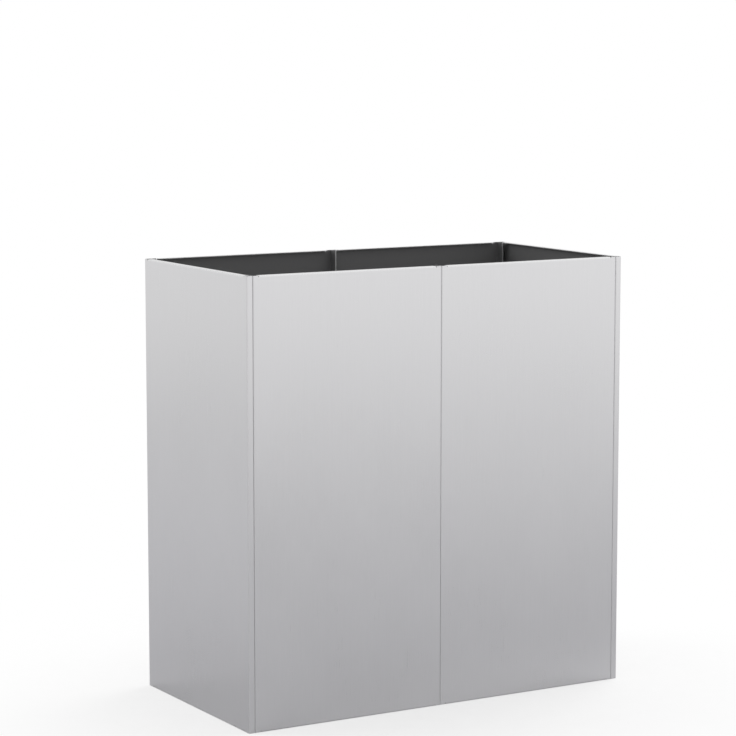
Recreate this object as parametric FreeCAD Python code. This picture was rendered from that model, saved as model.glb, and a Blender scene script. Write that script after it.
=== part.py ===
"""Tall rectangular floor planter, folded from thin stainless sheet and bolted at its seams.

Frame: +Z up, the long faces look along -Y (front) and +Y (back), the narrow ends along
-X and +X. The origin is on the ground, under the middle of the planter. Millimetres.
"""

import FreeCAD, Part

import math
import os

# Overall size: each long face is two panels between the corner returns of the ends
panel_pitch = 380.0
corner_return = 12.0
depth = 400.0
height = 800.0

# Sheet and its folds
sheet = 0.8
inside_radius = 0.8
joint_flange = 20.0
joint_gap = 0.2
lip_width = 10.0
foot_flange = 22.0
fold_setback = 12.0
foot_clearance = 2.0
relief_width = 1.2
relief_extra = 0.8

# Bolted seams
bolts_per_seam = 4
bolt_inset = 11.0
end_bolt_height = 60.0
bolt_diameter = 5.0
bolt_length = 10.0
bolt_hole_diameter = 5.5
head_across_flats = 8.0
head_height = 3.5
nut_across_flats = 8.0
nut_height = 4.0
nut_bore_diameter = 5.1
washer_diameter = 10.0
washer_bore_diameter = 5.3
washer_thickness = 1.0

# Base plates
base_seat_gap = 0.2
base_play = 1.5
base_notch_clearance = 2.0
rib_height = 20.0
rib_end_clearance = 8.0
rib_bolts = 3
rib_bolt_span_share = 0.8
rib_bolt_rise = 12.0
drain_diameter = 10.0
drain_columns = 3
drain_rows = 2
drain_column_share = 0.62
drain_row_share = 0.5

# Tie strap between the two middle seams
bolts_below_tie = 2
tie_height = 25.0
tie_thickness = 2.0
tie_seat_gap = 0.1
tie_end_clearance = 4.0

# Small round things that repeat, such as shanks, washers and bolt holes, have this many sides
small_round_sides = 12

# One overrun serves all cuts
overrun = 1.0

# Sizes worked out from those above
half_length = panel_pitch + corner_return
half_depth = depth / 2
outside_radius = inside_radius + sheet
half_gap = joint_gap / 2
face_width = panel_pitch - joint_gap
return_width = corner_return - half_gap
seam_reach = half_gap + sheet
bolt_line = half_depth - bolt_inset
corner_seam = panel_pitch
bolt_step = (height - 2 * end_bolt_height) / (bolts_per_seam - 1)
bolt_heights = [end_bolt_height + level * bolt_step for level in range(bolts_per_seam)]
base_level = sheet + base_seat_gap


def vector(x, y, z):
    return FreeCAD.Vector(x, y, z)


X_AXIS = vector(1, 0, 0)
Y_AXIS = vector(0, 1, 0)
Z_AXIS = vector(0, 0, 1)


def block(low, high):
    """Box between two opposite corners."""
    size = high - low
    return Part.makeBox(size.x, size.y, size.z, low)


def turned(shape, axis, degrees, shift):
    """Copy of a shape, turned about an axis through the origin and then moved."""
    moved = shape.copy()
    moved.Placement = FreeCAD.Placement(shift, FreeCAD.Rotation(axis, degrees))
    return moved


def unit(start, end):
    """Direction from one point to another, with length one."""
    direction = end - start
    return direction.normalize()


def left_of(direction):
    """Direction turned a quarter turn to the left in the XY plane."""
    return vector(-direction.y, direction.x, 0)


def folded_section(corners):
    """Face of a folded sheet's section, in the XY plane.

    The corners are where the outer faces would meet if the bends were sharp. The path
    turns left by a right angle at each of them, and the sheet lies on its left, so the
    outer face bends with the outside radius and the inner face with the inside radius.
    """
    first_step = left_of(unit(corners[0], corners[1])) * sheet
    last_step = left_of(unit(corners[-2], corners[-1])) * sheet
    edges = []
    for radius, start, end in ((outside_radius, corners[0], corners[-1]),
                               (inside_radius, corners[0] + first_step, corners[-1] + last_step)):
        at = start
        for before, corner, after in zip(corners, corners[1:], corners[2:]):
            way_in = unit(before, corner)
            way_out = unit(corner, after)
            centre = corner + (way_out - way_in) * outside_radius
            bend_start = centre - way_out * radius
            bend_middle = centre + unit(centre, corner) * radius
            bend_end = centre + way_in * radius
            edges.append(Part.LineSegment(at, bend_start).toShape())
            edges.append(Part.Arc(bend_start, bend_middle, bend_end).toShape())
            at = bend_end
        edges.append(Part.LineSegment(at, end).toShape())
    edges.append(Part.LineSegment(corners[0], corners[0] + first_step).toShape())
    edges.append(Part.LineSegment(corners[-1], corners[-1] + last_step).toShape())
    return Part.Face(Part.Wire(Part.sortEdges(edges)[0]))


def relief_slots(edge_height, into_web, slot_starts):
    """Narrow slots that free the ends of a fold from the wall beside it.

    The fold's edge is at edge_height, and into_web is +1 or -1, the way from there into
    the wall. A slot reaches past the bend line by relief_extra.
    """
    slot_end = edge_height + into_web * (outside_radius + relief_extra)
    past_edge = edge_height - into_web * overrun
    bottom = min(slot_end, past_edge)
    top = max(slot_end, past_edge)
    return [block(vector(start, -overrun, bottom), vector(start + relief_width, outside_radius, top))
            for start in slot_starts]


def folded_tray(plan_corners, lip_half, foot_half):
    """Wall panel in its own frame: outer face on y = 0, sheet towards +Y, centred on x = 0.

    Its side flanges, and any corner returns, are one plan section that runs the full
    height. The rim lip and the foot flange are folded strips between their ends, and
    slots part them from the full-height strips beside them.
    """
    walls = folded_section(plan_corners).extrude(Z_AXIS * height)
    folds = ((lip_half, height - outside_radius, height + overrun),
             (foot_half, -overrun, outside_radius))
    for half, bottom, top in folds:
        room = block(vector(-half, -overrun, bottom), vector(half, outside_radius, top))
        walls = walls.cut(room)
    middle = vector(0, height / 2, 0)
    lip = upright_strip([vector(lip_width, height, 0), vector(0, height, 0), middle], lip_half)
    foot = upright_strip([middle, vector(0, 0, 0), vector(foot_flange, 0, 0)], foot_half)
    tray = walls.fuse([lip, foot]).removeSplitter()
    slots = relief_slots(height, -1, (-lip_half - relief_width, lip_half))
    slots += relief_slots(0, 1, (-foot_half - relief_width, foot_half))
    return tray.cut(slots)


def upright_strip(corners, half):
    """Folded strip from x = -half to half. Its corners are given as (y, z, 0)."""
    strip = folded_section(corners).extrude(Z_AXIS * 2 * half)
    return turned(strip, vector(1, 1, 1), 120, vector(-half, 0, 0))


def polygon(circumradius, sides):
    """Face of a regular polygon in the XY plane, centred."""
    start = vector(circumradius, 0, 0)
    turns = [360 / sides * corner for corner in range(sides + 1)]
    return Part.Face(Part.makePolygon([FreeCAD.Rotation(Z_AXIS, turn).multVec(start) for turn in turns]))


def hexagon(across_flats):
    """Hexagonal face, by the distance across its flats."""
    return polygon(across_flats / math.sqrt(3), 6)


def small_shaft(diameter):
    """Face of a small round bar, whose corners lie on the diameter."""
    return polygon(diameter / 2, small_round_sides)


def small_bore(diameter):
    """Face of a small round hole, whose flats lie on the diameter."""
    return polygon(diameter / 2 / math.cos(math.pi / small_round_sides), small_round_sides)


def drill_x(low, high):
    """Bolt-hole cutter along X, from one point on its axis to another."""
    cutter = small_bore(bolt_hole_diameter).extrude(Z_AXIS * (high.x - low.x))
    return turned(cutter, Y_AXIS, 90, low)


def seam_drills(seam_x, side):
    """Cutters for the bolt holes of one seam; side is -1 at the front and +1 at the back."""
    reach = X_AXIS * (seam_reach + overrun)
    centres = [vector(seam_x, side * bolt_line, level) for level in bolt_heights]
    return [drill_x(centre - reach, centre + reach) for centre in centres]


def face_panel(centre_x, side):
    """One panel of a long face, with a joint flange folded in along each upright edge."""
    half_width = face_width / 2
    corners = [
        vector(-half_width, joint_flange, 0),
        vector(-half_width, 0, 0),
        vector(half_width, 0, 0),
        vector(half_width, joint_flange, 0),
    ]
    fold_half = half_width - fold_setback
    tray = folded_tray(corners, fold_half, fold_half)
    facing = 0 if side < 0 else 180
    panel = turned(tray, Z_AXIS, facing, vector(centre_x, side * half_depth, 0))
    drills = seam_drills(centre_x - panel_pitch / 2, side) + seam_drills(centre_x + panel_pitch / 2, side)
    return panel.cut(drills)


def end_panel(side):
    """Narrow end whose edges wrap the corners and then turn in as joint flanges."""
    corners = [
        vector(-half_depth + joint_flange, return_width, 0),
        vector(-half_depth, return_width, 0),
        vector(-half_depth, 0, 0),
        vector(half_depth, 0, 0),
        vector(half_depth, return_width, 0),
        vector(half_depth - joint_flange, return_width, 0),
    ]
    tray = folded_tray(corners, half_depth - fold_setback, half_depth - joint_flange - foot_clearance)
    panel = turned(tray, Z_AXIS, side * 90, vector(side * half_length, 0, 0))
    return panel.cut(seam_drills(side * corner_seam, -1) + seam_drills(side * corner_seam, 1))


def bolt():
    """Hexagon bolt: the underside of its head is on z = 0 and its shank points down."""
    head = hexagon(head_across_flats).extrude(Z_AXIS * head_height)
    shank = small_shaft(bolt_diameter).extrude(-Z_AXIS * bolt_length)
    return head.fuse(shank).removeSplitter()


def bored(body, diameter, thickness):
    """Body that stands on z = 0, with a small hole right through along Z."""
    bore = small_bore(diameter).extrude(Z_AXIS * (thickness + 2 * overrun))
    return body.cut(bore.translated(-Z_AXIS * overrun))


def nut():
    """Hexagon nut that stands on z = 0."""
    return bored(hexagon(nut_across_flats).extrude(Z_AXIS * nut_height), nut_bore_diameter, nut_height)


def washer():
    """Flat washer that lies on z = 0."""
    disc = small_shaft(washer_diameter).extrude(Z_AXIS * washer_thickness)
    return bored(disc, washer_bore_diameter, washer_thickness)


def fastener_set(places, head_way):
    """Bolts, washers and nuts along X, each as one group of separate solids.

    A place is the point on the seam's middle plane, and how much thicker than the two
    sheets the stack is on the nut's side. head_way is +1 where the heads look along +X.
    """
    groups = {"bolts": [], "washers": [], "nuts": []}
    turn = 90 * head_way
    for point, extra in places:
        seat = point + X_AXIS * head_way * seam_reach
        under_head = seat + X_AXIS * head_way * washer_thickness
        nut_face = point - X_AXIS * head_way * (seam_reach + extra + nut_height)
        groups["bolts"].append(turned(bolt(), Y_AXIS, turn, under_head))
        groups["washers"].append(turned(washer(), Y_AXIS, turn, seat))
        groups["nuts"].append(turned(nut(), Y_AXIS, turn, nut_face))
    return {kind: Part.makeCompound(solids) for kind, solids in groups.items()}


def seam_places(seam_x, side):
    """Bolt points of one upright seam; the middle seams carry the tie at one level."""
    places = []
    for index, level in enumerate(bolt_heights):
        carries_tie = seam_x == 0 and index == bolts_below_tie
        extra = tie_seat_gap + tie_thickness if carries_tie else 0
        places.append((vector(seam_x, side * bolt_line, level), extra))
    return places


def base_plate(side):
    """One half of the bottom: a flat plate with an upturned rib along the middle.

    It rests on the foot flanges of the walls, and its corners are notched round the
    joint flanges of the seams. It is drawn as the left half, and the right half is the
    same piece turned round.
    """
    outer_x = half_length - sheet - base_play
    outer_y = half_depth - sheet - base_play
    inner_y = half_depth - joint_flange - base_notch_clearance
    rib_half = inner_y - rib_end_clearance
    corner_notch_x = corner_seam - seam_reach - base_notch_clearance
    middle_notch_x = outside_radius + half_gap + base_notch_clearance
    section = folded_section([
        vector(-outer_x, base_level, 0),
        vector(-half_gap, base_level, 0),
        vector(-half_gap, base_level + rib_height, 0),
    ])
    ribbed = turned(section.extrude(Z_AXIS * 2 * rib_half), X_AXIS, 90, vector(0, rib_half, 0))
    wide = block(vector(-corner_notch_x, -outer_y, base_level),
                 vector(-middle_notch_x, outer_y, base_level + sheet))
    long = block(vector(-outer_x, -inner_y, base_level),
                 vector(-middle_notch_x, inner_y, base_level + sheet))
    plate = ribbed.fuse([wide, long]).removeSplitter().cut(drain_drills() + rib_drills())
    return turned(plate, Z_AXIS, 0 if side < 0 else 180, vector(0, 0, 0))


def drain_drills():
    """Cutters for the drain holes of the left base plate, in even rows and columns."""
    drills = []
    for column in spread(drain_columns):
        for row in spread(drain_rows):
            start = vector(column * drain_column_share * panel_pitch - corner_seam / 2,
                           row * drain_row_share * depth,
                           base_level - overrun)
            drills.append(Part.makeCylinder(drain_diameter / 2, sheet + 2 * overrun, start))
    return drills


def spread(count):
    """Evenly spaced shares from -0.5 to 0.5."""
    if count == 1:
        return [0.0]
    return [step / (count - 1) - 0.5 for step in range(count)]


def rib_points():
    """Bolt points of the rib between the base plates, on the planter's middle plane."""
    span = 2 * (half_depth - joint_flange) * rib_bolt_span_share
    return [vector(0, share * span, base_level + rib_bolt_rise) for share in spread(rib_bolts)]


def rib_drills():
    """Cutters for the bolt holes of the rib."""
    reach = X_AXIS * (seam_reach + overrun)
    return [drill_x(point - reach, point + reach) for point in rib_points()]


def centre_tie():
    """Flat strap with round ends, bolted against the middle seams' flanges."""
    near_face = seam_reach + tie_seat_gap
    far_face = near_face + tie_thickness
    radius = tie_height / 2
    straight = half_depth - tie_end_clearance - radius
    level = bolt_heights[bolts_below_tie]
    strap = block(vector(near_face, -straight, level - radius), vector(far_face, straight, level + radius))
    round_ends = [Part.makeCylinder(radius, tie_thickness, vector(near_face, side * straight, level), X_AXIS)
                  for side in (-1, 1)]
    drills = [drill_x(vector(near_face - overrun, side * bolt_line, level),
                      vector(far_face + overrun, side * bolt_line, level))
              for side in (-1, 1)]
    return strap.fuse(round_ends).removeSplitter().cut(drills)


def face_nodes():
    """Panels of the two long faces, and the fasteners of all six seams."""
    nodes = {}
    for face, side in (("front", -1), ("back", 1)):
        for name, way in (("left", -1), ("right", 1)):
            nodes[f"{face}_panel_{name}"] = face_panel(way * panel_pitch / 2, side)
        for name, seam_x, head_way in (("left", -corner_seam, 1), ("middle", 0, -1),
                                       ("right", corner_seam, -1)):
            fasteners = fastener_set(seam_places(seam_x, side), head_way)
            for kind, group in fasteners.items():
                nodes[f"{face}_{name}_seam_{kind}"] = group
    return nodes


def base_nodes():
    """The two base plates and the fasteners of the rib between them."""
    nodes = {"base_plate_left": base_plate(-1), "base_plate_right": base_plate(1)}
    for kind, group in fastener_set([(point, 0) for point in rib_points()], -1).items():
        nodes[f"base_rib_{kind}"] = group
    return nodes


def planter():
    """All nodes of the planter by name."""
    nodes = {"end_panel_left": end_panel(-1), "end_panel_right": end_panel(1)}
    nodes.update(face_nodes())
    nodes.update(base_nodes())
    nodes["centre_tie"] = centre_tie()
    return nodes


def export(nodes):
    """Write one STEP file for each node and print what it holds."""
    os.makedirs("parts", exist_ok=True)
    for name, shape in nodes.items():
        shape.exportStep(f"parts/{name}.step")
        valid = all(solid.isValid() for solid in shape.Solids)
        print(f"{name}: {len(shape.Solids)} solid(s), {shape.Volume:.0f} mm3, valid {valid}")


export(planter())
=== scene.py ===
# %% [markdown]
# # A tall planter of folded stainless sheet
#
# The imported model gives the planter's parts as plain solids, each in its place. This file loads
# them as a fixed frame and gives each part the look of the real one: satin sheet with brushed
# grain, dull folds and an inside both darkened by painted shade, rubbed edges, and small threaded
# bolts. The plain solids could keep their shape and take a new material, but their faces carry no
# layout for a grain that has to run round each fold, so every part is laid out and folded anew.
# Every length below is in metres.

# %% Load the imported model
import math

import bpy
import numpy as np
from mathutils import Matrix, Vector


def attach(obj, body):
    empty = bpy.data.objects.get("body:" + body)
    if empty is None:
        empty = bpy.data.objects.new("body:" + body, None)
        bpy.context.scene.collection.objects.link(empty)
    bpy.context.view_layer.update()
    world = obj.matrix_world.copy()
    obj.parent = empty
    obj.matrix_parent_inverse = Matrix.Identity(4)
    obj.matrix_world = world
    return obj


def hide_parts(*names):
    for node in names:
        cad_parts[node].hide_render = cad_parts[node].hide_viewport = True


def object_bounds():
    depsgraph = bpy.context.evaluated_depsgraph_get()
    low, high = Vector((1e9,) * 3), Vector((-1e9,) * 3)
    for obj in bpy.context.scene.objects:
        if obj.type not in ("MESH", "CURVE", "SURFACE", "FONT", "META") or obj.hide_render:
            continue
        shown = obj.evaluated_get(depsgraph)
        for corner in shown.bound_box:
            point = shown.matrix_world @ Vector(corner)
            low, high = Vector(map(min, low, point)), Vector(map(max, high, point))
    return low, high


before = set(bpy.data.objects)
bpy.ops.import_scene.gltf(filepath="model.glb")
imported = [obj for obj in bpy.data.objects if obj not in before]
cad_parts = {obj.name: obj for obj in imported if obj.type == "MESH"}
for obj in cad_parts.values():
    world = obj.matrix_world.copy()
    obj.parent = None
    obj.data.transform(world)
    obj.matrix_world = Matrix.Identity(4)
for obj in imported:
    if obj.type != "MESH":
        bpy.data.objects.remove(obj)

cad_low, cad_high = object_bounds()
print("parts in the frame:", len(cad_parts))
print("size in mm:", [round(1000 * (b - a)) for a, b in zip(cad_low, cad_high)])

# %% [markdown]
# ## Camera
#
# A product picture of a planter is taken from a little above its middle with a long lens, so
# that the upright edges stay nearly parallel. The place and the two angles below were found from
# the outline's corners. A shifted lens could keep the uprights exactly parallel, but the shift
# would also push the planter out of the middle in every other view. So the camera is simply
# tilted down a little.

# %% Camera at the viewing angle
camera_at = (-2.4619, -4.1320, 1.2129)
planter_middle = (0.0, 0.0, 0.4)
turned_right = 0.5311  # radians, as is the tilt
tilted_down = 0.1278

camera_data = bpy.data.cameras.new("camera")
camera_data.sensor_width = 36.0
camera_data.lens = 127.96
camera = bpy.data.objects.new("camera", camera_data)
camera.location = camera_at
camera.rotation_euler = (math.pi / 2 - tilted_down, 0.0, -turned_right)
bpy.context.scene.collection.objects.link(camera)
bpy.context.scene.camera = camera
print("camera stands", round(math.dist(camera_at, planter_middle), 2), "m away")

# %% [markdown]
# ## Small helpers for node materials
#
# A material in Blender is a graph of nodes. A few small helpers keep the recipes below short: they
# make a node and fill in its inputs, calculate, carry a value from one range to another, stretch
# a place, make noise, blend colours and start a new material. An input may be a number, a colour
# or another node's output.

# %% Node helpers
def fill(tree, socket, value):
    """Link the socket to an output, or write a plain value into it."""
    if isinstance(value, bpy.types.NodeSocket):
        tree.links.new(value, socket)
    else:
        socket.default_value = value


def add(tree, kind, inputs=(), **settings):
    """Make a node of this kind, with its settings, and fill its inputs by name or number."""
    node = tree.nodes.new("ShaderNode" + kind)
    for name, value in settings.items():
        setattr(node, name, value)
    for name, value in dict(inputs).items():
        fill(tree, node.inputs[name], value)
    return node


def calculate(tree, operation, first, second=0.0, third=0.0):
    """Result of a Math node on up to three numbers."""
    node = add(tree, "Math", {0: first, 1: second, 2: third}, operation=operation)
    return node.outputs[0]


def ramp(tree, value, from_low, from_high, to_low, to_high):
    """Value carried smoothly from one range to another, and held at its ends."""
    node = add(tree, "MapRange", {"Value": value, "From Min": from_low, "From Max": from_high,
                                  "To Min": to_low, "To Max": to_high},
               interpolation_type="SMOOTHSTEP")
    return node.outputs["Result"]


def noise(tree, place, scale, detail=2.0, roughness=0.5):
    """Soft noise from 0 to 1, read at a place that is already stretched as wanted."""
    node = add(tree, "TexNoise", {"Vector": place, "Scale": scale, "Detail": detail,
                                  "Roughness": roughness})
    return node.outputs["Fac"]


def stretch(tree, place, amounts, shift=(0.0, 0.0, 0.0)):
    """The place with each of its three numbers multiplied, and then shifted."""
    node = add(tree, "Mapping", {"Vector": place, "Scale": amounts, "Location": shift})
    return node.outputs["Vector"]


def blend_colour(tree, share, first, second):
    """Colour between two others, by a share from 0 to 1."""
    node = add(tree, "Mix", {0: share, 6: first, 7: second}, data_type="RGBA")
    return node.outputs[2]


def new_material(name):
    """Material without nodes, and its empty node tree."""
    material = bpy.data.materials.new(name)
    material.use_nodes = True
    material.node_tree.nodes.clear()
    return material, material.node_tree


print("helpers ready")

# %% [markdown]
# ## Floor, surroundings and light
#
# The planter stands on a pale floor in a white studio. Satin steel has no colour of its own to
# speak of: what the eye reads as its tone is the room in it. Low on the wall it reflects the
# floor close by, which is a plain pale grey, and higher up it reflects the floor far off, which
# fades into the white room. That slow change from pale grey to white is the whole look of the
# metal. It could be painted onto the walls, but then it would be wrong from any other side. So
# the floor and the sky are made white for camera, glossy and transmission rays, where they light
# nothing, and the planter shows them. Near the planter the floor keeps its shadow, and under it
# the floor stays dark, so that nothing shines up through the drain holes.

# %% White surroundings
world = bpy.data.worlds.new("white_studio")
world.use_nodes = True
world.cycles.sampling_method = "NONE"
bpy.context.scene.world = world
room = world.node_tree
room.nodes.clear()
plain_level = 0.64
to_back_left = (-0.5, 0.86, 0.0)
back_left_white = 0.865


def seen_directly(tree):
    """1 for camera, glossy and transmission rays, and 0 for the rays that light things."""
    path = add(tree, "LightPath").outputs
    glossy_or_camera = calculate(tree, "MAXIMUM", path["Is Camera Ray"], path["Is Glossy Ray"])
    return calculate(tree, "MAXIMUM", glossy_or_camera, path["Is Transmission Ray"])


def mirrored_white(tree, towards):
    """White that glossy rays see: 1 towards the front right, a little less to the back left."""
    back_left = add(tree, "VectorMath", {0: towards, 1: to_back_left}, operation="DOT_PRODUCT")
    return ramp(tree, back_left.outputs["Value"], -0.2, 0.8, 1.0, back_left_white)


looking = add(room, "TexCoord").outputs["Generated"]
metal_sees = mirrored_white(room, looking)
camera_only = add(room, "LightPath").outputs["Is Camera Ray"]
seen_white = calculate(room, "MAXIMUM", metal_sees, camera_only)
strength = add(room, "Mix", {0: seen_directly(room), 2: plain_level, 3: seen_white}).outputs[0]
backdrop = add(room, "Background", {"Color": (1.0, 1.0, 1.0, 1.0), "Strength": strength})
add(room, "OutputWorld", {"Surface": backdrop.outputs[0]})
print("the surroundings light things at", plain_level, "and are seen at 1.0")

# %% [markdown]
# ## Lamps
#
# Sheet metal is photographed under large soft lamps, since a small one leaves a hot spot in it. A
# sun or a point lamp would do just that here. So there are two large square area lamps, one
# overhead to the right and one to the left. Both are hidden from glossy rays: they light the
# floor, and the metal shows that floor but not the lamps.

# %% Two soft lamps
def soft_lamp(name, size, energy, location, aim):
    """Square lamp that points at a place and doesn't show in the metal."""
    data = bpy.data.lights.new(name, "AREA")
    data.size = size
    data.energy = energy
    lamp = bpy.data.objects.new(name, data)
    lamp.visible_glossy = False
    lamp.location = location
    lamp.rotation_euler = (Vector(location) - Vector(aim)).to_track_quat("Z", "Y").to_euler()
    bpy.context.scene.collection.objects.link(lamp)


soft_lamp("soft_top_lamp", size=3.2, energy=66.0, location=(2.4, 0.4, 3.2), aim=(0.2, 0.0, 0.2))
soft_lamp("soft_left_lamp", size=1.8, energy=25.0, location=(-2.2, 1.6, 2.2), aim=(-0.6, 0.1, 0.0))
print("two soft lamps, overhead and left")

# %% [markdown]
# ## Floor
#
# The floor is one large square. It could be cut into a grey near part and a white far one, but
# then a border between them would show in the metal. Instead the Light Path node tells which kind
# of ray looks at the floor, and the distance from the middle tells how far off it lands. Together
# they fade one paint smoothly into white.

# %% Floor that fades into the white room
floor_reach = 40.0
floor_level = -0.0002
floor_mesh = bpy.data.meshes.new("floor")
floor_mesh.from_pydata([(x * floor_reach, y * floor_reach, floor_level)
                        for x, y in ((-1, -1), (1, -1), (1, 1), (-1, 1))], [], [(0, 1, 2, 3)])
floor = bpy.data.objects.new("floor", floor_mesh)
bpy.context.scene.collection.objects.link(floor)

floor_paint, paint = new_material("pale_floor")
floor_paint.cycles.emission_sampling = "NONE"
path = add(paint, "LightPath").outputs
place = add(paint, "TexCoord").outputs["Object"]
away = add(paint, "VectorMath", {0: place}, operation="LENGTH").outputs["Value"]
towards = add(paint, "VectorMath", {0: place}, operation="NORMALIZE").outputs["Vector"]
oval = stretch(paint, place, (0.5, 1.0, 1.0), (-0.1, 0.0, 0.0))
close_by = add(paint, "VectorMath", {0: oval}, operation="LENGTH").outputs["Value"]
mirrored = calculate(paint, "MAXIMUM", path["Is Glossy Ray"], path["Is Transmission Ray"])
from_middle = add(paint, "VectorMath", {0: place}, operation="ABSOLUTE").outputs["Vector"]
across_floor = add(paint, "SeparateXYZ", {0: from_middle}).outputs
past_ends = calculate(paint, "GREATER_THAN", across_floor["X"], cad_high[0])
past_faces = calculate(paint, "GREATER_THAN", across_floor["Y"], cad_high[1])
past_walls = calculate(paint, "MAXIMUM", past_ends, past_faces)
camera_fade = calculate(paint, "MULTIPLY", ramp(paint, away, 0.2, 1.1, 0.5, 1.0), past_walls)
# Close to the planter, glossy rays see up to 0.18 of white mixed into the floor in an oval round
# it: a painted glow that lightens the shadow reflected in the walls' feet.
metal_fade = calculate(paint, "MAXIMUM", ramp(paint, away, 0.6, 7.0, 0.0, 1.0),
                       ramp(paint, close_by, 0.2, 0.6, 0.18, 0.0))
camera_white = calculate(paint, "MULTIPLY", path["Is Camera Ray"], camera_fade)
metal_white = calculate(paint, "MULTIPLY", mirrored, metal_fade)
whiteness = calculate(paint, "MAXIMUM", camera_white, metal_white)
grain = ramp(paint, noise(paint, place, 22.0), 0.3, 0.7, 0.985, 1.0)
# The floor is paler to the camera than to all other rays: the metal reflects the darker copy, a
# painted shade that darkens its walls low down.
lighting_grey = (0.526, 0.525, 0.541, 1.0)
seen_pale = (0.96, 0.96, 0.96, 1.0)
pale = blend_colour(paint, path["Is Camera Ray"], lighting_grey, seen_pale)
speckled = add(paint, "VectorMath", {0: pale, "Scale": grain}, operation="SCALE").outputs[0]
matt = add(paint, "BsdfDiffuse", {"Color": speckled}).outputs[0]
shine = calculate(paint, "MAXIMUM", mirrored_white(paint, towards), path["Is Camera Ray"])
white = add(paint, "Emission", {"Color": (1.0, 1.0, 1.0, 1.0), "Strength": shine}).outputs[0]
surface = add(paint, "MixShader", {0: whiteness, 1: matt, 2: white}).outputs[0]
add(paint, "OutputMaterial", {"Surface": surface})
floor_mesh.materials.append(floor_paint)
print("floor of", 2 * floor_reach, "m")

# %% [markdown]
# ## From a flat blank to a folded sheet
#
# The real walls are cut flat with a laser and then folded in a press brake. A wall could be a
# plane with Solidify and Bevel modifiers, but its slots, its bolt holes and the corner that it
# wraps would each need cutting by hand. The two real steps are simpler. First a flat blank is
# laid out on a grid: every cell inside the cut outline is kept, and a ring of faces goes round
# each hole. Then each point of the blank is carried to its place on the folded shape, and the
# sheet's own thickness is added on its inner side. The blank's flat coordinates become the UV
# map, so the brushed grain runs round every fold unbroken.

# %% Sheet and fold sizes
sheet = 0.0008
outside_radius = 0.0016
fold_arc = outside_radius * math.pi / 2
edge_band = 0.0012  # width of the cells next to a fold or an edge
grid_step = 0.02  # width of the widest cells
same_place = 1e-7  # marks nearer to each other than this are one
print("each fold takes up", round(1000 * fold_arc, 2), "mm of the blank")


# %% Grid lines of a blank
def grid_lines(fixed, step, around_holes=()):
    """Grid lines through every fixed mark and hole mark, with even steps between.

    Each fixed mark also gets a close neighbour on both sides where there is room, which keeps
    the shading of a fold or an edge from spreading into the flat.
    """
    fixed = np.sort(np.asarray(fixed, float))
    fixed = fixed[np.append(True, np.diff(fixed) > same_place)]
    near = np.concatenate([fixed - edge_band, fixed + edge_band])
    roomy = np.abs(near[:, None] - fixed).min(axis=1) > 0.9 * edge_band
    inside = (near > fixed[0]) & (near < fixed[-1])
    lines = np.sort(np.concatenate([fixed, near[roomy & inside], np.ravel(around_holes)]))
    lines = lines[np.append(True, np.diff(lines) > same_place)]
    counts = np.maximum(np.ceil(np.diff(lines) / step - 1e-6).astype(int), 1)
    runs = [np.linspace(a, b, n, endpoint=False) for a, b, n in zip(lines, lines[1:], counts)]
    return np.append(np.concatenate(runs), lines[-1])


def across_fold(start, segments=8):
    """Marks across one fold of the blank, from where it starts."""
    return start + fold_arc * np.linspace(0.0, 1.0, segments + 1)


def across_hole(centre, half, cells):
    """Marks across the square round a hole, one for each of its ring's corners."""
    return centre + half * np.linspace(-1.0, 1.0, cells + 1)


print("grid lines over 100 mm:", len(grid_lines([0.0, 0.1], grid_step)))


# %% Faces round a hole
def ring_faces(centre, radius, outline, steps=(0.0, 0.25, 1.0)):
    """Faces between a round hole and a closed outline round it, as (points, quads).

    Each outline point is joined to the circle's point in the same direction from the centre:
    place = (1 - t) circle + t outline, for each t in steps.
    """
    towards = outline - centre
    circle = centre + radius * towards / np.linalg.norm(towards, axis=1, keepdims=True)
    points = np.concatenate([(1 - t) * circle + t * outline for t in steps])
    count = len(outline)
    at = np.arange(count)
    after = np.roll(at, -1)
    quads = [np.stack([at + k, at + k + count, after + k + count, after + k], 1)
             for k in count * np.arange(len(steps) - 1)]
    return points, np.concatenate(quads)


def square_round(centre, half, cells):
    """Square outline with this many cells to a side, counterclockwise."""
    side = np.linspace(-1.0, 1.0, cells + 1)[:-1]
    one = np.ones(cells)
    corners = [(one, side), (-side, one), (-one, -side), (side, -one)]
    return centre + half * np.concatenate([np.stack(pair, 1) for pair in corners])


drain_radius = 0.005
drain_square = 0.012  # half side of the square round a drain hole
drain_cells = 8
origin = np.zeros(2)
_, drain_quads = ring_faces(origin, drain_radius, square_round(origin, drain_square, drain_cells))
print("a drain hole's ring has", len(drain_quads), "faces")


# %% Blank cut from the grid
def joined(points, quads):
    """The same faces with points that coincide made one, and unused points left out."""
    microns = np.round(points * 1e6)
    _, first, same = np.unique(microns, axis=0, return_index=True, return_inverse=True)
    used, quads = np.unique(same.ravel()[quads], return_inverse=True)
    return points[first][used], quads.reshape(-1, 4)


def cut_blank(across, up, keep, holes=()):
    """Flat blank as (points, quads): the grid's cells that keep(x, y) wants, and hole rings.

    A hole is (centre, radius, half side of its square, cells to a side).
    """
    x, y = np.meshgrid(across, up)
    corner = np.arange(x.size).reshape(x.shape)[:-1, :-1]
    cells = np.stack([corner, corner + 1, corner + 1 + len(across), corner + len(across)], -1)
    middle_x = (across[:-1] + across[1:])[None, :] / 2
    middle_y = (up[:-1] + up[1:])[:, None] / 2
    wanted = keep(middle_x, middle_y)
    points, quads, count = [np.stack([x.ravel(), y.ravel()], 1)], [], x.size
    for centre, radius, half, side_cells in holes:
        wanted &= (np.abs(middle_x - centre[0]) > half) | (np.abs(middle_y - centre[1]) > half)
        centre = np.asarray(centre, float)
        outline = square_round(centre, half, side_cells)
        ring_points, ring_quads = ring_faces(centre, radius, outline)
        points.append(ring_points)
        quads.append(ring_quads + count)
        count += len(ring_points)
    return joined(np.concatenate(points), np.concatenate([cells[wanted], *quads]))


print("blank cutter ready")


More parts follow.
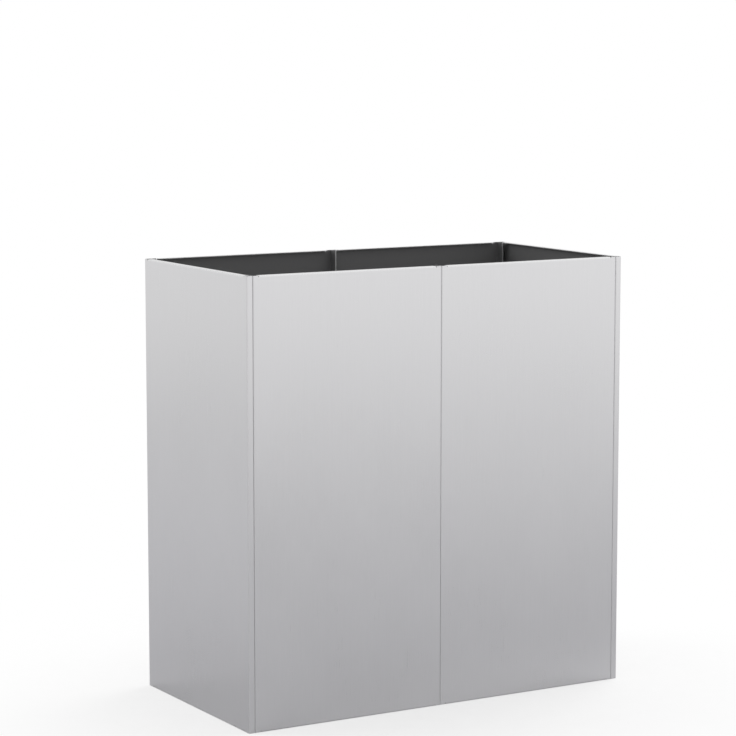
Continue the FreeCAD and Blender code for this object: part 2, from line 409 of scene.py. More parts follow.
# %% [markdown]
# ## How a fold is worked out
#
# A press brake bends the sheet round a small radius and leaves the rest flat. Blender's Simple
# Deform modifier could bend a strip too, but one fold at a time. A short function does all the
# folds of a wall at once: it walks along the sheet's edge as seen from its end, straight on in
# the flats and round a circle in the folds.

# %% The folded line
def folded_line(corners, along):
    """Points and inward directions on the outer face of a line folded at each inner corner.

    The corners are where the outer faces would meet if the folds were sharp, and each fold
    turns left by a quarter turn. On a flat run the point moves straight ahead. In a fold it is
    start + r (left (1 - cos a) + ahead sin a), where a is the arc so far divided by r.
    """
    corners = np.asarray(corners, float)
    steps = np.diff(corners, axis=0)
    lengths = np.linalg.norm(steps, axis=1)
    ahead = steps / lengths[:, None]
    left = np.stack([-ahead[:, 1], ahead[:, 0]], 1)
    last = len(lengths) - 1
    trim_start = np.where(np.arange(last + 1) == 0, 0.0, outside_radius)
    trim_end = np.where(np.arange(last + 1) == last, 0.0, outside_radius)
    flats = lengths - trim_start - trim_end
    starts = np.concatenate([[0.0], np.cumsum(flats + fold_arc)[:-1]])
    run = np.clip(np.searchsorted(starts, along + 1e-9, side="right") - 1, 0, last)
    inside = along - starts[run]
    straight = np.where(run == last, inside, np.minimum(inside, flats[run]))[:, None]
    turn = ((inside - straight[:, 0]) / outside_radius)[:, None]
    point = corners[run] + ahead[run] * (trim_start[run][:, None] + straight)
    point = point + outside_radius * (left[run] * (1 - np.cos(turn)) + ahead[run] * np.sin(turn))
    return point, left[run] * np.cos(turn) - ahead[run] * np.sin(turn)


def blank_length(corners):
    """Length of the flat strip that folds into this line."""
    lengths = np.linalg.norm(np.diff(np.asarray(corners, float), axis=0), axis=1)
    return lengths.sum() - (len(lengths) - 1) * (2 * outside_radius - fold_arc)


angle_iron = [(0.0, 0.03), (0.0, 0.0), (0.02, 0.0)]
end_point, _ = folded_line(angle_iron, np.array([blank_length(angle_iron)]))
print("a folded line ends at, in mm:", np.round(1000 * end_point[0], 3).tolist())


# %% Mesh from arrays
def mesh_piece(name, points, faces, flat=None, attributes=(), smooth_below=35.0):
    """Blender object from arrays of points and faces, shaded smooth below an angle in degrees.

    flat holds the flat-blank place of every corner of every face.
    """
    mesh = bpy.data.meshes.new(name)
    mesh.vertices.add(len(points))
    mesh.vertices.foreach_set("co", np.ascontiguousarray(points, np.float32).ravel())
    mesh.loops.add(faces.size)
    mesh.loops.foreach_set("vertex_index", np.ascontiguousarray(faces, np.int32).ravel())
    mesh.polygons.add(len(faces))
    starts = np.arange(0, faces.size, faces.shape[1], dtype=np.int32)
    mesh.polygons.foreach_set("loop_start", starts)
    mesh.update(calc_edges=True)
    if flat is not None:
        layer = mesh.uv_layers.new(name="flat_blank")
        layer.uv.foreach_set("vector", np.ascontiguousarray(flat, np.float32).ravel())
    for label, values in dict(attributes).items():
        layer = mesh.attributes.new(label, "FLOAT", "POINT")
        layer.data.foreach_set("value", np.ascontiguousarray(values, np.float32))
    mesh.polygons.foreach_set("use_smooth", np.ones(len(faces), bool))
    mesh.set_sharp_from_angle(angle=math.radians(smooth_below))
    piece = bpy.data.objects.new(name, mesh)
    bpy.context.scene.collection.objects.link(piece)
    return piece


def open_edges(faces):
    """Edges that only one face uses, each in that face's own direction."""
    edges = np.concatenate([np.stack([faces[:, k], np.roll(faces, -1, 1)[:, k]], 1)
                            for k in range(faces.shape[1])])
    _, back, count = np.unique(np.sort(edges, 1), axis=0, return_inverse=True, return_counts=True)
    return edges[count[back.ravel()] == 1]


print("mesh builder ready")


# %% Thickness and rim of a sheet
def sheet_piece(name, blank, quads, outer, inward, fold_shade_and_dullness, worn, thickness=sheet, inner_side=1.0):
    """Closed sheet: the outer face, the same face one thickness inwards, and the rim between.

    Inner point = outer point + thickness * inward direction. The blank's flat coordinates
    become the UV map, where a cut edge lies beside the face as if folded out flat. The fold,
    wear and inside marks, each from 0 to 1, become attributes that the finish reads; it darkens
    the folds and the inner side as painted shade.
    """
    count = len(blank)
    rim = open_edges(quads)
    rim_quads = np.stack([rim[:, 1], rim[:, 0], rim[:, 0] + count, rim[:, 1] + count], 1)
    faces = np.concatenate([quads, quads[:, ::-1] + count, rim_quads])
    assert len(open_edges(faces)) == 0, name
    points = np.concatenate([outer, outer + thickness * inward])
    start, end = blank[rim[:, 0]], blank[rim[:, 1]]
    beside = (end - start)[:, ::-1] * (1.0, -1.0)
    beside *= thickness / np.linalg.norm(beside, axis=1, keepdims=True)
    rim_flat = np.stack([end, start, start + beside, end + beside], 1)
    flat = np.concatenate([blank[quads], blank[quads[:, ::-1]], rim_flat])
    sides = {"fold_shade_and_dullness": np.tile(fold_shade_and_dullness, 2), "worn": np.tile(worn, 2),
             "inside": np.repeat([0.0, inner_side], count)}
    return mesh_piece(name, points, faces, flat, sides)


def nearness(distance):
    """1 at a fold or edge, falling evenly to 0 at the edge band's width from it."""
    return 1.0 - np.clip(distance / edge_band, 0.0, 1.0)


made = []


def seat(piece, finish, slot, *nodes):
    """Give a piece its finish, let it ride on the frame and stand for its CAD nodes."""
    piece.data.materials.append(finish)
    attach(piece, "root")
    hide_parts(*nodes)
    made.append(piece)


print("sheet builder ready")

# %% [markdown]
# ## Satin stainless finish
#
# The sheet is brushed along its length with a fine belt, which leaves thousands of hair-thin
# lines. From a step away they are too fine to see one by one, but they blur every reflection.
# Real lines could be modelled only at a huge cost, and a picture of them would blur close up. So
# the finish is a metal with a middling roughness, and its noise is stretched a hundred times
# along the grain. On top come a faint cloudiness from handling and a few longer scratches. The
# upright and foot folds are a touch duller, and their colour is darkened a touch as painted
# shade, while the rim and the cut edges are rubbed bright. The inner side hardly shows in the
# photo, so its look is a guess: a dark grey, painted shade for the shaded inside of the planter,
# that scatters light more than it mirrors it. Bare stainless is often lighter.

# %% Brushed grain and marks
def brushed_marks(tree):
    """Fine hairlines, wide streaks, clouds and scratches, each from -1 to 1 or 0 to 1."""
    flat = add(tree, "UVMap", uv_map="flat_blank").outputs["UV"]
    hair = noise(tree, stretch(tree, flat, (2600.0, 26.0, 1.0)), 1.0, 3.0, 0.6)
    streak = noise(tree, stretch(tree, flat, (260.0, 3.0, 1.0)), 1.0, 3.0, 0.55)
    cloud = noise(tree, stretch(tree, flat, (6.0, 4.0, 1.0)), 1.0, 4.0, 0.6)
    thin = noise(tree, stretch(tree, flat, (900.0, 9.0, 1.0), (3.1, 7.7, 0.0)), 1.0, 0.0)
    return (ramp(tree, hair, 0.2, 0.8, -1.0, 1.0), ramp(tree, streak, 0.2, 0.8, -1.0, 1.0),
            ramp(tree, cloud, 0.2, 0.8, -1.0, 1.0), ramp(tree, thin, 0.83, 0.87, 0.0, 1.0))


def weighted(tree, start, *parts):
    """Start plus each (value, weight) pair's product, as a chain of Math nodes."""
    for value, weight in parts:
        start = calculate(tree, "MULTIPLY_ADD", value, weight, start)
    return start


print("grain recipe ready")


# %% Steel finishes
inner_metal = 0.35
rubbed_tone = (0.81, 0.812, 0.815, 1.0)


def steel_finish(name, tone, roughness, inner_tone_with_shade, inner_roughness):
    """Brushed steel whose grain follows the flat blank, with dull folds and rubbed edges.

    The outer face is all metal, and the inner one is metal by inner_metal's share alone. The
    folds and the inner side are darkened as painted shade.
    """
    finish, tree = new_material(name)
    fold_shade_and_dullness, worn, inside = [add(tree, "Attribute", attribute_name=label).outputs["Fac"]
                             for label in ("fold_shade_and_dullness", "worn", "inside")]
    hair, streak, cloud, scratch = brushed_marks(tree)
    # The inner side's dark tone is painted shade for the shaded inside of the planter.
    tint = blend_colour(tree, inside, tone, inner_tone_with_shade)
    rubbed = blend_colour(tree, calculate(tree, "MULTIPLY", worn, 0.9), tint, rubbed_tone)
    # The fold mark darkens the colour here as painted shade, and makes the surface rougher below.
    shade = weighted(tree, 1.0, (hair, 0.022), (streak, 0.006), (cloud, 0.010), (fold_shade_and_dullness, -0.055))
    colour = add(tree, "VectorMath", {0: rubbed, "Scale": shade}, operation="SCALE").outputs[0]
    dull = weighted(tree, roughness, (inside, inner_roughness - roughness), (hair, 0.035),
                    (cloud, 0.018), (fold_shade_and_dullness, 0.06), (worn, -0.05), (scratch, -0.03))
    relief = weighted(tree, 0.0, (hair, 0.5), (scratch, -0.3))
    bumps = add(tree, "Bump", {"Strength": 0.25, "Distance": 0.00002, "Height": relief})
    grain_way = add(tree, "Tangent", direction_type="UV_MAP", uv_map="flat_blank")
    metal = weighted(tree, 1.0, (inside, inner_metal - 1.0))
    steel = add(tree, "BsdfPrincipled", {
        "Base Color": colour, "Metallic": metal, "Roughness": dull, "Anisotropic": 0.2,
        "Tangent": grain_way.outputs["Tangent"], "Normal": bumps.outputs["Normal"]})
    add(tree, "OutputMaterial", {"Surface": steel.outputs[0]})
    return finish


# The walls' inner tone, 0.17, is painted shade for the planter's shaded inside; the plates' inner
# tone is darker than their outer one too.
satin = steel_finish("satin_stainless", (0.764, 0.761, 0.770, 1.0), 0.31,
                     (0.17, 0.17, 0.172, 1.0), 0.5)
plain_plate = steel_finish("plain_stainless_plate", (0.62, 0.625, 0.63, 1.0), 0.42,
                           (0.40, 0.40, 0.404, 1.0), 0.5)
print("finishes:", satin.name, "and", plain_plate.name)

# %% [markdown]
# ## Wall panels
#
# Each wall is one folded tray. In plan its upright edges turn in, once on the long faces and
# twice at the narrow ends, where the sheet first wraps the corner. In elevation the rim folds
# inwards as a narrow lip and the foot as a flange. Short slots part these folds from the
# full-height strips beside them, as the press brake needs. One recipe serves all six walls,
# because they differ only in their plan and in where the slots are, and so the seams between
# them come out as even as in the real thing.

# %% Wall sizes
height = 0.8
half_length = 0.392
half_depth = 0.2
half_pitch = 0.19  # from the middle seam to the middle of a long-face panel
strip_width = 0.012  # a corner strip, and how far a lip stops short of its wall's side
joint_width = 0.020
lip_width = 0.010
foot_width = 0.022
slot_width = 0.0012
slot_past_bend = 0.0008
slot_depth = outside_radius + slot_past_bend
bolt_inset = 0.011
bolt_heights = np.linspace(0.06, 0.74, 4)
bolt_hole_radius = 0.00275
bolt_square = 0.0044  # half side of the square round a bolt hole
bolt_cells = 4
lip_edge = height - 2 * outside_radius + fold_arc + lip_width
foot_edge = 2 * outside_radius - fold_arc - foot_width
print("the wall's blank is", round(1000 * (lip_edge - foot_edge), 1), "mm long")


# %% Blank of a wall
def wall_folds(plan):
    """Where the upright folds start, as distances from the middle of the blank."""
    runs = np.linalg.norm(np.diff(np.asarray(plan, float), axis=0), axis=1)
    first = runs[len(runs) // 2] / 2 - outside_radius
    if len(plan) == 4:
        return [first]
    return [first, first + fold_arc + runs[1] - 2 * outside_radius]


def wall_blank(plan, lip_half, foot_half):
    """Flat wall: x from the wall's middle, y from its foot, slots and bolt holes cut out."""
    half_blank = blank_length(plan) / 2
    folds = wall_folds(plan)
    bolt_x = folds[-1] + fold_arc + bolt_inset - outside_radius
    one_side = np.concatenate([[half_blank, lip_half, lip_half + slot_width, foot_half,
                                foot_half + slot_width], *[across_fold(start) for start in folds]])
    across = grid_lines(np.concatenate([-one_side, one_side]), grid_step,
                        [across_hole(way * bolt_x, bolt_square, bolt_cells) for way in (-1, 1)])
    levels = np.concatenate([[foot_edge, 0.0, slot_depth, height - slot_depth, height, lip_edge],
                             across_fold(outside_radius - fold_arc),
                             across_fold(height - outside_radius)])
    up = grid_lines(levels, grid_step,
                    [across_hole(z, bolt_square, bolt_cells) for z in bolt_heights])

    def keep(x, y):
        """Wanted cells: all but the slots, and but the lip's and foot's height beside them."""
        upper = y > height / 2
        fold_half = np.where(upper, lip_half, foot_half)
        beside = np.abs(x) > fold_half
        in_slot = beside & (np.abs(x) < fold_half + slot_width)
        slot_level = np.where(upper, y > height - slot_depth, y < slot_depth)
        return ~(in_slot & slot_level) & ~(beside & ((y > height) | (y < 0.0)))

    holes = [((way * bolt_x, z), bolt_hole_radius, bolt_square, bolt_cells)
             for z in bolt_heights for way in (-1, 1)]
    return cut_blank(across, up, keep, holes)


print("wall blank recipe ready")


# %% Painted fold shade and wear
def beyond(distance, start):
    """How far a distance lies outside one fold that starts there, and 0 inside it."""
    return np.maximum(np.abs(distance - start - fold_arc / 2) - fold_arc / 2, 0.0)


def wall_marks(blank, plan, lip_half, foot_half):
    """Two arrays: 1 in an upright or foot fold, where the finish paints shade, and 1 on the rim's
    fold or on a cut edge.
    """
    x, y = np.abs(blank[:, 0]), blank[:, 1]
    upper = y > height / 2
    fold_half = np.where(upper, lip_half, foot_half)
    folded = x < fold_half + slot_width / 2
    creases = [np.where(folded & ~upper, beyond(y, outside_radius - fold_arc), 1.0)]
    creases += [beyond(x, start) for start in wall_folds(plan)]
    slot_level = np.where(upper, y > height - slot_depth - 1e-6, y < slot_depth + 1e-6)
    slot_side = np.minimum(np.abs(x - fold_half), np.abs(x - fold_half - slot_width))
    below_lip_edge = np.where(folded, lip_edge - y, 1.0)
    above_foot_edge = y - np.where(folded, foot_edge, 0.0)
    cuts = [np.where(folded & upper, beyond(y, height - outside_radius), 1.0),
            blank_length(plan) / 2 - x,
            np.where(upper, below_lip_edge, above_foot_edge),
            np.where(slot_level, slot_side, 1.0)]
    return nearness(np.min(creases, axis=0)), nearness(np.min(cuts, axis=0))


print("wear recipe ready")


# %% Fold a wall
def fold_wall(blank, plan, lip_half, foot_half, slack):
    """Outer points and inward directions of a wall: outer face on y = 0, sheet towards +y.

    Between the slots a point keeps its x and takes y and z from the elevation fold. Beside
    them it keeps its height and takes x and y from the plan fold. The flat of the wall bows
    in by slack * (sin(pi x') sin(pi y'))^2, with x' and y' from 0 to 1 across it, because
    thin sheet never lies dead flat.
    """
    x, y = blank.T
    web_half = np.asarray(plan)[:, 0].max()
    beside, beside_inward = folded_line(plan, x + blank_length(plan) / 2)
    rise = [(lip_width, height), (0.0, height), (0.0, 0.0), (foot_width, 0.0)]
    over, over_inward = folded_line(rise, lip_edge - y)
    still = np.zeros_like(x)
    folded = np.abs(x) < np.where(y > height / 2, lip_half, foot_half) + slot_width / 2
    outer = np.where(folded[:, None], np.column_stack([x, over]), np.column_stack([beside, y]))
    inward = np.where(folded[:, None], np.column_stack([still, over_inward]),
                      np.column_stack([beside_inward, still]))
    share_x = np.clip(x / web_half / 2 + 0.5, 0.0, 1.0)
    share_y = np.clip(y / height, 0.0, 1.0)
    outer[:, 1] += slack * (np.sin(math.pi * share_x) * np.sin(math.pi * share_y)) ** 2
    return outer, inward


def turned(vectors, degrees):
    """Vectors turned about the upright axis."""
    angle = math.radians(degrees)
    cos, sin = math.cos(angle), math.sin(angle)
    return vectors @ np.array([[cos, sin, 0.0], [-sin, cos, 0.0], [0.0, 0.0, 1.0]])


print("folding recipe ready")


# %% Long faces
def wall_piece(node, plan, lip_half, foot_half, facing, at, slack, blank_shift):
    """One finished wall, turned to its facing and set in its place.

    blank_shift moves its blank to grain of its own, so that no two walls carry the same marks.
    """
    blank, quads = wall_blank(plan, lip_half, foot_half)
    outer, inward = fold_wall(blank, plan, lip_half, foot_half, slack)
    fold_shade_and_dullness, worn = wall_marks(blank, plan, lip_half, foot_half)
    piece = sheet_piece("folded_" + node, blank + blank_shift, quads,
                        turned(outer, facing) + at, turned(inward, facing), fold_shade_and_dullness, worn)
    seat(piece, satin, "satin_steel", node)
    return piece


face_half = 0.1899
face_plan = [(-face_half, joint_width), (-face_half, 0.0),
             (face_half, 0.0), (face_half, joint_width)]
face_fold = face_half - strip_width
least_bow = 0.00025
more_bow = 0.00004
next_grain = 1.7
for number, (node, facing, x, y) in enumerate([
        ("front_panel_left", 0, -half_pitch, -half_depth),
        ("front_panel_right", 0, half_pitch, -half_depth),
        ("back_panel_left", 180, -half_pitch, half_depth),
        ("back_panel_right", 180, half_pitch, half_depth)]):
    piece = wall_piece(node, face_plan, face_fold, face_fold, facing, (x, y, 0.0),
                       least_bow + more_bow * number, (next_grain * number, 0.0))
    print(piece.name, len(piece.data.polygons), "faces")

# %% [markdown]
# ## Narrow ends
#
# The sheet of each narrow end wraps both corners and shows on the long faces as a strip 12 mm
# wide. The strip could be a bar of its own, but then a joint would run down the corner, and the
# real corner has none. So the end's plan simply has two more corners than a long face's plan.

# %% Narrow ends
return_width = 0.0119
end_plan = [(-half_depth + joint_width, return_width), (-half_depth, return_width),
            (-half_depth, 0.0), (half_depth, 0.0),
            (half_depth, return_width), (half_depth - joint_width, return_width)]
end_lip_half = half_depth - strip_width
end_foot_half = half_depth - joint_width - 0.002  # 2 mm clear of the joint flanges
end_bow = 0.0003
end_grain = 9.1
for number, (node, way) in enumerate([("end_panel_left", -1), ("end_panel_right", 1)]):
    piece = wall_piece(node, end_plan, end_lip_half, end_foot_half, 90 * way,
                       (way * half_length, 0.0, 0.0), end_bow,
                       (end_grain + next_grain * number, 0.0))
    print(piece.name, len(piece.data.polygons), "faces")

# %% [markdown]
# ## Base plates
#
# The bottom is two plates that rest on the foot flanges. Each has six drain holes and an edge
# folded up as a rib, and the two ribs are bolted back to back. They are cut from plainer sheet
# than the walls. Holes could be cut with a Boolean modifier, which leaves long thin faces that
# shade badly. Instead each hole gets its own ring of faces, and the rest of the plate stays an
# even grid.

# %% Base plates
base_level = 0.001
base_x = 0.3897
rib_height = 0.020
rib_x = 0.0001
rib_line = [(-base_x, base_level), (-rib_x, base_level), (-rib_x, base_level + rib_height)]
rib_fold = -rib_x - outside_radius
rib_edge = blank_length(rib_line) - base_x
rib_bolt_rise = 0.012
rib_bolt_x = rib_fold + fold_arc + rib_bolt_rise - outside_radius
rib_bolt_y = np.linspace(-0.144, 0.144, 3)
drain_span = 0.2356
drain_x = -half_pitch + drain_span * np.array([-0.5, 0.0, 0.5])
drain_y = np.array([-0.1, 0.1])
corner_notch_x = -0.3771
rib_notch_x = -0.0037
half_at_end = 0.178
half_between_seams = 0.1977
half_at_rib = 0.170


def base_outline(x, y):
    """Wanted cells: wide between the seams, narrower at the end and beside the rib."""
    half = np.where(x > corner_notch_x, half_between_seams, half_at_end)
    return np.abs(y) < np.where(x > rib_notch_x, half_at_rib, half)


def hole_marks(drains, bolts):
    """Marks across the squares round these drain holes and bolt holes."""
    return np.concatenate([*[across_hole(at, drain_square, drain_cells) for at in drains],
                           *[across_hole(at, bolt_square, bolt_cells) for at in bolts]])


base_marks = np.concatenate([[-base_x, corner_notch_x, rib_notch_x, rib_edge],
                             across_fold(rib_fold)])
base_across = grid_lines(base_marks, grid_step, hole_marks(drain_x, [rib_bolt_x]))
base_sides = np.array([half_at_end, half_between_seams, half_at_rib])
base_up = grid_lines(np.concatenate([-base_sides, base_sides]), grid_step,
                     hole_marks(drain_y, rib_bolt_y))
base_holes = [((x, y), drain_radius, drain_square, drain_cells) for x in drain_x for y in drain_y]
base_holes += [((rib_bolt_x, y), bolt_hole_radius, bolt_square, bolt_cells) for y in rib_bolt_y]
base_blank, base_quads = cut_blank(base_across, base_up, base_outline, base_holes)
print("base blank:", len(base_quads), "faces")

# %% Fold the base plates
line_point, line_inward = folded_line(rib_line, base_blank[:, 0] + base_x)
base_outer = np.stack([line_point[:, 0], -base_blank[:, 1], line_point[:, 1]], 1)
base_inward = np.stack([line_inward[:, 0], np.zeros(len(base_blank)), line_inward[:, 1]], 1)
to_drain = np.min([np.hypot(base_blank[:, 0] - x, base_blank[:, 1] - y)
                   for x in drain_x for y in drain_y], axis=0)
# The finish darkens the rib's fold as painted shade.
base_fold_shade_and_dullness = nearness(beyond(base_blank[:, 0], rib_fold))
base_worn = nearness(to_drain - drain_radius)
base_grain = 14.0
for number, (node, facing) in enumerate([("base_plate_left", 0), ("base_plate_right", 180)]):
    base_flat = base_blank[:, ::-1] + (base_grain + 2.0 * number, 0.0)
    piece = sheet_piece("folded_" + node, base_flat, base_quads, turned(base_outer, facing),
                        turned(base_inward, facing), base_fold_shade_and_dullness, base_worn)
    seat(piece, plain_plate, "plate_steel", node)
    print(piece.name, len(piece.data.polygons), "faces")

# %% [markdown]
# ## Tie strap
#
# A flat bar between the middle seams keeps the long walls from bulging. Its ends are rounded about
# their bolts. A box joined to two cylinders would have that outline, but with messy faces where
# they meet. So its middle is a plain grid, and each end is a ring of faces between the bolt hole
# and the round outline.

# %% Tie strap
tie_near = 0.001
tie_thickness = 0.002
tie_level = bolt_heights[2]
tie_round = 0.0125
tie_straight = 0.1835
tie_grid_end = 0.168
tie_step = 0.003
tie_columns = 35
tie_grain = 21.0
bolt_line = half_depth - bolt_inset


def strap_end(way):
    """Ring of faces between the bolt hole and the round end of the strap."""
    turn = np.linspace(-math.pi / 2, math.pi / 2, 17)[1:-1]
    run = np.linspace(tie_grid_end, tie_straight, 4)
    inner = len(strap_up) - 2
    half_circle = tie_round * np.stack([np.cos(turn), np.sin(turn)], 1)
    outline = np.concatenate([np.stack([run, np.full(4, -tie_round)], 1),
                              (tie_straight, 0.0) + half_circle,
                              np.stack([run[::-1], np.full(4, tie_round)], 1),
                              np.stack([np.full(inner, tie_grid_end), strap_up[-2:0:-1]], 1)])
    points, quads = ring_faces(np.array([bolt_line, 0.0]), bolt_hole_radius, outline,
                               (0.0, 0.3, 0.6, 0.9, 1.0))
    return points * way, quads


strap_up = grid_lines([-tie_round, tie_round], tie_step)
strap_along = np.linspace(-tie_grid_end, tie_grid_end, tie_columns)
# every cell of this grid is wanted
strap_points, strap_quads = cut_blank(strap_along, strap_up, lambda x, y: np.isfinite(x + y))
all_points, all_quads = [strap_points], [strap_quads]
for way in (-1, 1):
    points, quads = strap_end(way)
    all_quads.append(quads + sum(len(p) for p in all_points))
    all_points.append(points)
strap_blank, strap_quads = joined(np.concatenate(all_points), np.concatenate(all_quads))
past_straight = np.maximum(np.abs(strap_blank[:, 0]) - tie_straight, 0.0)
strap_worn = nearness(tie_round - np.hypot(past_straight, strap_blank[:, 1]))
strap_outer = np.stack([np.full(len(strap_blank), tie_near), -strap_blank[:, 0],
                        tie_level + strap_blank[:, 1]], 1)
strap_inward = np.tile([1.0, 0.0, 0.0], (len(strap_blank), 1))
no_fold_shade = np.zeros(len(strap_blank))
strap = sheet_piece("tie_strap", strap_blank[:, ::-1] + (tie_grain, 0.0), strap_quads,
                    strap_outer, strap_inward, no_fold_shade, strap_worn, tie_thickness, inner_side=0.0)
seat(strap, plain_plate, "plate_steel", "centre_tie")
print(strap.name, len(strap.data.polygons), "faces")

# %% [markdown]
# ## Bolts, washers and nuts
#
# The seams are held with small hexagon bolts. A real bolt head is a hexagon cut from round bar,
# and its top is turned to a cone, which leaves the curved corners that everyone knows. A plain
# hexagonal prism with a bevel lacks those curves. Here, as on the lathe, the head is at each
# angle as wide as the hexagon or the cone, whichever is less. The thread is a wave in the shank's
# radius that climbs by one pitch in each turn. All of it is a few arrays of radius and height.

# %% Bolt, washer and nut shapes
across_flats = 0.008
flat_top_share = 0.95  # of the width across flats
sides = 24
angles = np.arange(sides) * (2 * math.pi / sides)
hexagon = across_flats / 2 / np.cos(np.mod(angles, math.pi / 3) - math.pi / 6)


def round_grid(radius, level, closed):
    """Points and triangles of a turned shape from radius and level arrays, row by angle.

    Point = (radius cos a, radius sin a, level). A closed shape's last row joins its first,
    and an open one's first and last rows shrink to a point on the axis.
    """
    rows, count = radius.shape
    points = np.stack([radius * np.cos(angles), radius * np.sin(angles), level + 0 * radius], -1)
    points = points.reshape(-1, 3)
    row = np.arange(rows if closed else rows - 1)[:, None]
    at = row * count + np.arange(count)
    after = row * count + np.roll(np.arange(count), -1)
    below, below_after = (at + count) % (rows * count), (after + count) % (rows * count)
    quads = np.stack([at, below, below_after, after], -1).reshape(-1, 4)
    faces = np.concatenate([quads[:, [0, 1, 2]], quads[:, [0, 2, 3]]])
    if closed:
        return points, faces
    top, bottom = points[:count].mean(0), points[-count:].mean(0)
    ends = np.arange(count)
    next_ends = np.roll(ends, -1)
    last = (rows - 1) * count
    caps = [np.stack([ends, next_ends, np.full(count, rows * count)], 1),
            np.stack([last + next_ends, last + ends, np.full(count, rows * count + 1)], 1)]
    return np.concatenate([points, [top, bottom]]), np.concatenate([faces, *caps])


def turned_hexagon(from_end):
    """Radius at each angle: the hexagon's or the 30 degree cone's, whichever is less."""
    cone = flat_top_share * across_flats / 2 + math.sqrt(3) * np.asarray(from_end)[:, None]
    return np.minimum(hexagon, cone)


cone_steps = np.array([0.0, 0.00012, 0.00024, 0.00036, 0.0005])
print("hexagon corners are", round(2000 * hexagon.max(), 2), "mm across")

# %% One bolt
head_height = 0.0035
head_top_radius = 0.0012
bolt_length = 0.010
tip_length = 0.0004
tip_radius = 0.0019
pitch = 0.0008
crest_radius = 0.0025
thread_depth = 0.00045
thread_rows = 73
thread_levels = -np.linspace(0.0, bolt_length - tip_length, thread_rows)[:, None]
climb = 2 * math.pi * thread_levels / pitch - angles
thread_radius = crest_radius - thread_depth * (1 + np.cos(climb)) / 2
bolt_radius = np.concatenate([np.full((1, sides), head_top_radius), turned_hexagon(cone_steps),
                              hexagon[None, :], thread_radius, np.full((1, sides), tip_radius)])
bolt_level = np.concatenate([[[head_height]], (head_height - cone_steps)[:, None], [[0.0]],
                             thread_levels, [[-bolt_length]]])
bolt_shape = round_grid(bolt_radius, bolt_level, closed=False)
print("one bolt has", len(bolt_shape[1]), "triangles")

# %% One nut and one washer
nut_height = 0.004
bore_radius = 0.00255
bore = np.full((1, sides), bore_radius)
nut_radius = np.concatenate([bore, turned_hexagon(cone_steps),
                             turned_hexagon(cone_steps[::-1]), bore])
nut_level = np.concatenate([[nut_height], nut_height - cone_steps, cone_steps[::-1], [0.0]])
nut_shape = round_grid(nut_radius, nut_level[:, None], closed=True)
washer_thickness = 0.001
washer_middle = 0.003825
washer_half_width = 0.001175
washer_rows = 16
washer_turn = np.linspace(0, 2 * math.pi, washer_rows, endpoint=False)[:, None]


def squared(wave):
    """Wave with its sign kept and its size's fourth root taken.

    With a cosine across and a sine up, this turns a circle into a rounded square.
    """
    return np.sign(wave) * np.abs(wave) ** 0.25


washer_radius = washer_middle + washer_half_width * squared(np.cos(washer_turn)) + 0 * angles
washer_level = washer_thickness / 2 * (1 - squared(np.sin(washer_turn)))
washer_shape = round_grid(washer_radius, washer_level, closed=True)
print("one nut has", len(nut_shape[1]), "triangles, one washer", len(washer_shape[1]))

# %% [markdown]
# ## Bright zinc
#
# The fasteners are steel under a thin coat of zinc, which dries in faint cloudy patches. A single
# grey would look like plastic beside the brushed sheet. The coat is even in all directions and
# needs no layout, so its noise is read straight from each point's place in space.

# %% Bright zinc finish
zinc, tree = new_material("bright_zinc")
place = add(tree, "TexCoord").outputs["Object"]
patches = noise(tree, place, 420.0, 3.0)
fine = noise(tree, place, 3200.0, 2.0)
tone = blend_colour(tree, ramp(tree, patches, 0.3, 0.7, 0.0, 1.0),
                    (0.60, 0.61, 0.63, 1.0), (0.70, 0.71, 0.72, 1.0))
dull = weighted(tree, 0.26, (patches, 0.14), (fine, 0.06))
bumps = add(tree, "Bump", {"Strength": 0.3, "Distance": 0.00003, "Height": fine}).outputs["Normal"]
coat = add(tree, "BsdfPrincipled", {"Base Color": tone, "Metallic": 1.0, "Roughness": dull,
                                    "Normal": bumps})
add(tree, "OutputMaterial", {"Surface": coat.outputs[0]})
print("finish:", zinc.name)


# %% [markdown]
# ## Fasteners in their places
#
# In a joint each bolt passes through its washer, both sheets and the nut. Copies of one bolt could
# be set by hand, but they would be dozens of objects. Instead all the bolts of a seam are one
# mesh: the shape's points, plus each bolt's place. Each is turned by an angle of its own, because
# no two real bolts come to rest at the same one.

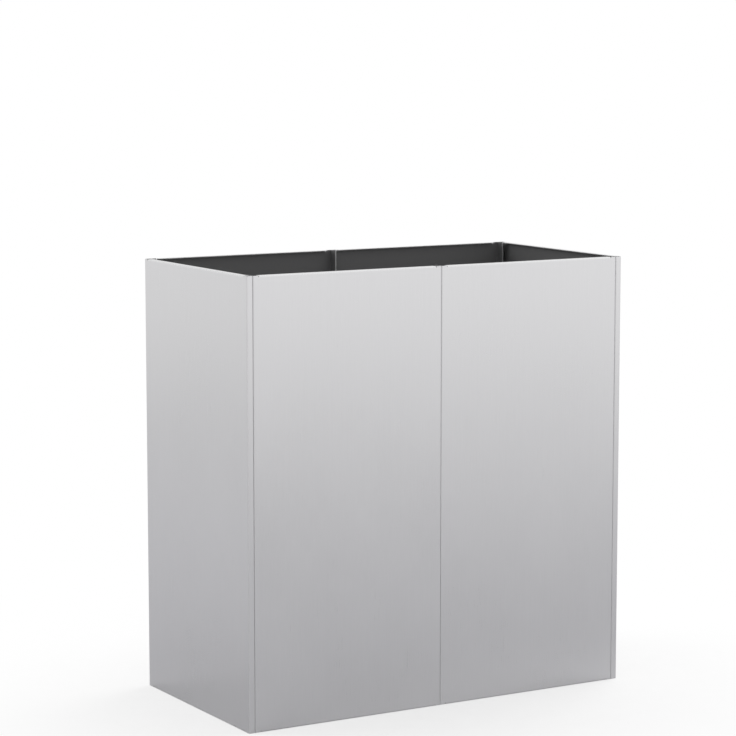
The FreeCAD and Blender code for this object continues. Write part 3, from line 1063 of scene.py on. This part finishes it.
# %% Set fasteners in place
def fastener_piece(name, shape, starts, head_way, node):
    """Copies of one turned shape along X, each given its own small turn about its axis.

    The shape's own axis z becomes head_way * X, so a point (x, y, z) goes to
    start + (head_way z, y, -head_way x) after it has turned by its own angle.
    """
    points, faces = shape
    turn = (0.61803 * np.arange(len(starts)) + 0.37 * len(node)) * math.pi
    cos, sin = np.cos(turn)[:, None], np.sin(turn)[:, None]
    x = points[:, 0] * cos - points[:, 1] * sin
    y = points[:, 0] * sin + points[:, 1] * cos
    z = points[:, 2] + 0 * x
    placed = np.stack([head_way * z, y, -head_way * x], -1) + starts[:, None, :]
    shift = (np.arange(len(starts)) * len(points))[:, None, None]
    piece = mesh_piece(name, placed.reshape(-1, 3), (faces + shift).reshape(-1, 3),
                       smooth_below=40.0)
    seat(piece, zinc, "bolt_steel", node)


seam_reach = 0.0009  # from the middle of a seam to the far face of one sheet


def fastener_pieces(node, where, points, extras, head_way):
    """The bolts, washers and nuts of one joint; extras thicken the stack on the nuts' side."""
    ahead = np.array([head_way, 0.0, 0.0])
    seats = points + ahead * seam_reach
    heads = seats + ahead * washer_thickness
    nut_faces = points - ahead * (seam_reach + nut_height + extras[:, None])
    fastener_piece(where + "_threaded_bolts", bolt_shape, heads, head_way, node + "_bolts")
    fastener_piece(where + "_flat_washers", washer_shape, seats, head_way, node + "_washers")
    fastener_piece(where + "_hexagon_nuts", nut_shape, nut_faces, head_way, node + "_nuts")


print("fastener placing ready")

# %% All the joints
corner_seam = 2 * half_pitch
tie_play = 0.0001
for face, side in (("front", -1), ("back", 1)):
    for name, x, head_way in (("left", -corner_seam, 1), ("middle", 0.0, -1),
                              ("right", corner_seam, -1)):
        seam_points = np.stack([np.full(4, x), np.full(4, side * bolt_line), bolt_heights], 1)
        at_tie = (bolt_heights == tie_level) & (name == "middle")
        tie_extra = np.where(at_tie, tie_play + tie_thickness, 0.0)
        fastener_pieces(f"{face}_{name}_seam", f"{face}_{name}", seam_points, tie_extra, head_way)
rib_points = np.stack([np.zeros(3), rib_bolt_y, np.full(3, base_level + rib_bolt_rise)], 1)
fastener_pieces("base_rib", "rib", rib_points, np.zeros(3), -1)
print("pieces:", len(made), "with", sum(len(p.data.polygons) for p in made), "faces")

# %% [markdown]
# ## Check the size and finish
# ## View settings
# The dressed planter has to fill the same box as the CAD model.

# %% View settings
bpy.context.scene.view_settings.view_transform = "Standard"
